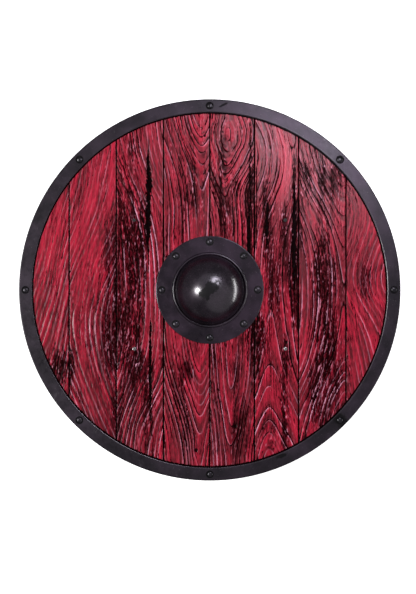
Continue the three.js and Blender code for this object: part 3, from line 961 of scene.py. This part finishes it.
def dress_boss(tree, steel):
    """The dome is polished and lacquered down to near its foot. So are the bead and the edge.
    The dome is also given a lighter black than the flange, a painted sheen.

    A ragged dark patch dulls the dome just off its middle. The flange stays satin.
    """
    place = object_place(tree)
    level = add_node(tree, "ShaderNodeSeparateXYZ", {0: place}).outputs[2]
    ragged = stretched_noise(tree, place, (75, 75, 1), detail=3)
    reach = reach_in_oval(tree, place, DARK_PATCH_MIDDLE, DARK_PATCH_HALF_SIZES, 40)
    dark_patch = between(tree, scale_add(tree, ragged, 2.2, reach), 2.2, 1.95)
    # The dark rings round the rivets are grime and painted shade.
    grime = shade_and_grime_round_rivets(tree, BOSS_RIVET_CIRCLE)
    grime = maths(tree, "MAXIMUM", grime, times(tree, dark_patch, 0.9))
    tree.links.new(grime, steel.inputs["Grime"])
    polish = between(tree, level, BOSS_LEVEL + 0.004, BOSS_LEVEL + 0.02, 0.25, 0.48)
    tree.links.new(polish, steel.inputs["Polish"])

    dome = between(tree, level, BOSS_LEVEL + 0.029, BOSS_LEVEL + 0.035)
    dome = times(tree, dome, scale_add(tree, dark_patch, -0.9, 1.0))
    bead = between(tree, level, BOSS_LEVEL + 0.003, BOSS_LEVEL + 0.004)
    below = between(tree, level, BOSS_LEVEL + 0.009, BOSS_LEVEL + 0.007)
    bead = times(tree, bead, below)
    from_middle = distance_from_middle(tree, place)
    edge = between(tree, from_middle, FLANGE_RADIUS - 0.0016, FLANGE_RADIUS - 0.0008)
    # Painted sheen: the dome is coloured a lighter black than the flange.
    black = blend_colours(tree, dome, BOSS_BLACK, DOME_SHEEN_BLACK)
    tree.links.new(black, steel.inputs["Black"])
    return {"Coat Weight": maths(tree, "MAXIMUM", maths(tree, "MAXIMUM", dome, bead), edge)}


satin = dict(metallic=0.45, specular=0.25, dents=0.08)
boss_finish = steel_material("blackened boss", BOSS_BLACK, polish=0.1, dress=dress_boss, **satin)
boss_mesh = lathe_mesh("steel_boss", boss_profile(), BOSS_SIDES, closed=False)
boss_piece = add_piece("steel_boss", boss_mesh, boss_finish)
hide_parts("boss")
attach(boss_piece, "root")

# ---- Rivets, roves and nails ----
# Every head was closed by hammer, so no two sit quite alike. The ones through the steel
# are blackened with it. Those that hold the battens are bare steel, painted light enough to
# stand for their glint, and the upper ones are darkened.

# Each head's or tail's radius and height, and the radius of the shank between them.
HEAD = (0.0055, 0.0025)
BATTEN_HEAD = (0.004, 0.0015)
TAIL = (0.0042, 0.0015)
SHANK_RADIUS = 0.0025
FASTENER_SIDES = 24
RIVET_BLACK = (0.03, 0.026, 0.032, 1)
# Bare steel, light enough that its colour is in part a painted glint.
BARE_STEEL_WITH_GLINT = (0.5, 0.46, 0.45, 1)


def scatter_tree():
    """Puts a fastener on every point, each with its own small turn and size."""
    inputs = {"Geometry": "Geometry", "Fastener": "Object", "Lean": "Float"}
    inputs.update({"Unevenness": "Float", "Seed": "Int", "Material": "Material"})
    tree, given = new_group("Fasteners", inputs, {"Geometry": "Geometry"}, "GeometryNodeTree")
    shape = add_node(tree, "GeometryNodeObjectInfo", {"Object": given["Fastener"]})
    lean_low = times(tree, given["Lean"], -1.0)
    low = add_node(tree, "ShaderNodeCombineXYZ", {0: lean_low, 1: lean_low, 2: -math.pi})
    high = add_node(tree, "ShaderNodeCombineXYZ", {0: given["Lean"], 1: given["Lean"], 2: math.pi})
    turn = add_node(tree, "FunctionNodeRandomValue", data_type="FLOAT_VECTOR")
    tree.links.new(low.outputs[0], turn.inputs[0])
    tree.links.new(high.outputs[0], turn.inputs[1])
    tree.links.new(given["Seed"], turn.inputs["Seed"])
    size = add_node(tree, "FunctionNodeRandomValue", data_type="FLOAT")
    tree.links.new(maths(tree, "SUBTRACT", 1.0, given["Unevenness"]), size.inputs[2])
    size.inputs[3].default_value = 1.0
    tree.links.new(given["Seed"], size.inputs["Seed"])
    wide = size.outputs[1]
    spread = add_node(tree, "ShaderNodeCombineXYZ", {0: wide, 1: wide, 2: 1.0})
    placed = add_node(tree, "GeometryNodeInstanceOnPoints", {
        "Points": given["Geometry"],
        "Instance": shape.outputs["Geometry"],
        "Rotation": turn.outputs[0],
        "Scale": spread.outputs[0],
    })
    solid = add_node(tree, "GeometryNodeRealizeInstances", {0: placed.outputs[0]})
    dressed = {"Geometry": solid.outputs[0], "Material": given["Material"]}
    finished = add_node(tree, "GeometryNodeSetMaterial", dressed)
    add_node(tree, "NodeGroupOutput", {0: finished.outputs[0]})
    return tree


fasteners = scatter_tree()


def fastener_piece(name, nodes, profile, material, slot, seed, lean=0.0, unevenness=0.0):
    """One piece for a group of like CAD nodes, made from one turned profile."""
    shape_mesh = lathe_mesh(f"{name}_shape", profile, FASTENER_SIDES, closed=False)
    shape = bpy.data.objects.new(f"{name}_shape", shape_mesh)
    spots = []
    for node in nodes:
        low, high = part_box(node)
        spots.append(((low.x + high.x) / 2, (low.y + high.y) / 2, 0))
    points = bpy.data.meshes.new(f"{name}_points")
    points.from_pydata(spots, [], [])
    holder = bpy.data.objects.new(f"{name}_points", points)
    bpy.context.collection.objects.link(holder)
    modifier = holder.modifiers.new("fasteners", "NODES")
    modifier.node_group = fasteners
    values = {"Fastener": shape, "Lean": lean, "Unevenness": unevenness}
    values.update({"Seed": seed, "Material": material})
    for item in fasteners.interface.items_tree:
        if item.in_out == "INPUT" and item.name in values:
            modifier[item.identifier] = values[item.name]
    graph = bpy.context.evaluated_depsgraph_get()
    mesh = bpy.data.meshes.new_from_object(holder.evaluated_get(graph))
    mesh.name = name
    bpy.data.objects.remove(holder)
    bpy.data.objects.remove(shape)
    piece = bpy.data.objects.new(name, mesh)
    bpy.context.collection.objects.link(piece)
    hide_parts(*nodes)
    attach(piece, "root")


def head_curve(radius, height, level, steps=6):
    """A low dome over a short upright edge, from its rim to its middle."""
    edge = height * 0.25
    angles = np.radians(np.linspace(0, 90, steps + 1))
    dome = [(radius * math.cos(a), level + edge + (height - edge) * math.sin(a)) for a in angles]
    return [(radius * 0.97, level), *dome[:-1], (0, level + height)]


def rivet_profile(node, head):
    """A rivet as it is after closing: flattened tail, shank and domed head."""
    low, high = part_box(node)
    tail_level, head_level = low.z + TAIL[1], high.z - head[1]
    return [
        *((radius, tail_level - height) for radius, height in head_curve(*TAIL, 0, 4)[::-1]),
        (SHANK_RADIUS, tail_level),
        (SHANK_RADIUS, head_level),
        *head_curve(*head, head_level),
    ]


def dress_bare_rivets(tree, steel):
    """The upper ones are darkened, and the lower ones keep the light bare colour, a painted glint.
    """
    up = add_node(tree, "ShaderNodeSeparateXYZ", {0: object_place(tree)}).outputs[1]
    tree.links.new(between(tree, up, -0.05, 0.05, 0.0, 0.92), steel.inputs["Grime"])
    return {}


black_rivets = steel_material("blackened rivets", RIVET_BLACK, polish=0.45)
bare_rivets = steel_material(
    "bare rivets", BARE_STEEL_WITH_GLINT, polish=0.5, metallic=0.6, dress=dress_bare_rivets
)
rim_rivets = [f"rim_rivet_{i}" for i in range(1, RIVETS_ROUND + 1)]
boss_rivets = [f"boss_rivet_{i}" for i in range(1, RIVETS_ROUND + 1)]
batten_rivets = [f"batten_rivet_{i}" for i in range(1, 5)]

# Two of the boss's rivets also pass through the grip, and so reach lower.
tails = {node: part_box(node)[0].z for node in boss_rivets}
grip_rivets = [node for node in boss_rivets if tails[node] < max(tails.values()) - 0.001]
short_rivets = [node for node in boss_rivets if node not in grip_rivets]
loose = dict(lean=math.radians(1.5), unevenness=0.07)

for name, nodes, seed in (
    ("rim_rivets", rim_rivets, 3),
    ("boss_rivets", short_rivets, 5),
    ("grip_rivets", grip_rivets, 8),
):
    profile = rivet_profile(nodes[0], HEAD)
    fastener_piece(name, nodes, profile, black_rivets, "black_steel", seed, **loose)

profile = rivet_profile(batten_rivets[0], BATTEN_HEAD)
fastener_piece("batten_rivets", batten_rivets, profile, bare_rivets, "bare_steel", seed=2)

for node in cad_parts:
    if "rove" in node or "nail" in node:
        set_material(node, bare_rivets)

# ---- Floor and light ----
# A pale studio floor. One small lamp stands to the left, a broad one beyond the top right,
# a tall strip to the right, and weak fills high at the back and low at the front. The rest
# of the room is dark. The floor lies just clear of the battens.

FLOOR_LEVEL = -0.0005
FLOOR_REACH = 6

corners = ((-1, -1), (1, -1), (1, 1), (-1, 1))
floor_corners = [(FLOOR_REACH * x, FLOOR_REACH * y, FLOOR_LEVEL) for x, y in corners]
floor_mesh = bpy.data.meshes.new("floor")
floor_mesh.from_pydata(floor_corners, [], [(0, 1, 2, 3)])
pale_floor, floor_tree = new_material("pale floor")
floor_look = {"Base Color": (0.92, 0.92, 0.92, 1), "Roughness": 0.9}
floor_look.update({"Emission Color": (1, 1, 1, 1), "Emission Strength": 1.0})
finish_material(floor_tree, {}, floor_look)
floor = add_piece("floor", floor_mesh, pale_floor)
floor.visible_glossy = False


def add_lamp(name, tilt, turn, distance, width, height, watts, colour):
    """A soft lamp that faces the middle of the shield."""
    data = bpy.data.lights.new(name, "AREA")
    data.shape = "ELLIPSE"
    data.size, data.size_y = width, height
    data.energy = watts
    data.color = colour
    lamp = bpy.data.objects.new(name, data)
    lean, way = math.radians(tilt), math.radians(turn)
    away = (math.sin(lean) * math.cos(way), math.sin(lean) * math.sin(way), math.cos(lean))
    away = Vector(away).normalized()
    lamp.location = away * distance + Vector((0, 0, FACE_LEVEL))
    lamp.rotation_euler = away.to_track_quat("Z", "Y").to_euler()
    lamp.visible_camera = False
    bpy.context.collection.objects.link(lamp)


# A lamp's tilt from straight up, its turn, distance, width and height, watts and colour.
LAMPS = {
    "left lamp": (33, 184, 4.2, 0.97, 0.97, 112, (1.0, 1.0, 1.0)),
    "top lamp": (29, 56, 1.0, 0.38, 0.34, 4.1, (1.0, 0.95, 1.1)),
    "high fill": (31, 108, 1.4, 1.2, 0.7, 0.85, (1.0, 0.93, 1.08)),
    "right strip": (82, 0, 2.4, 2.4, 0.34, 26, (1.0, 1.0, 1.0)),
    "low fill": (42, -40, 1.2, 2.0, 2.0, 3.5, (1.0, 0.94, 1.03)),
}
for name, settings in LAMPS.items():
    add_lamp(name, *settings)

# The room is pale to look at, but throws little light of its own.
ROOM_LIGHT = 0.05
world = bpy.data.worlds.new("studio")
world.use_nodes = True
room = world.node_tree
room_light = room.nodes["Background"]
room_light.inputs["Color"].default_value = (0.9, 0.92, 1.0, 1)
seen = add_node(room, "ShaderNodeLightPath").outputs["Is Camera Ray"]
room.links.new(between(room, seen, 0.0, 1.0, ROOM_LIGHT, 1.0), room_light.inputs["Strength"])
bpy.context.scene.world = world
bpy.context.scene.view_settings.view_transform = "Standard"
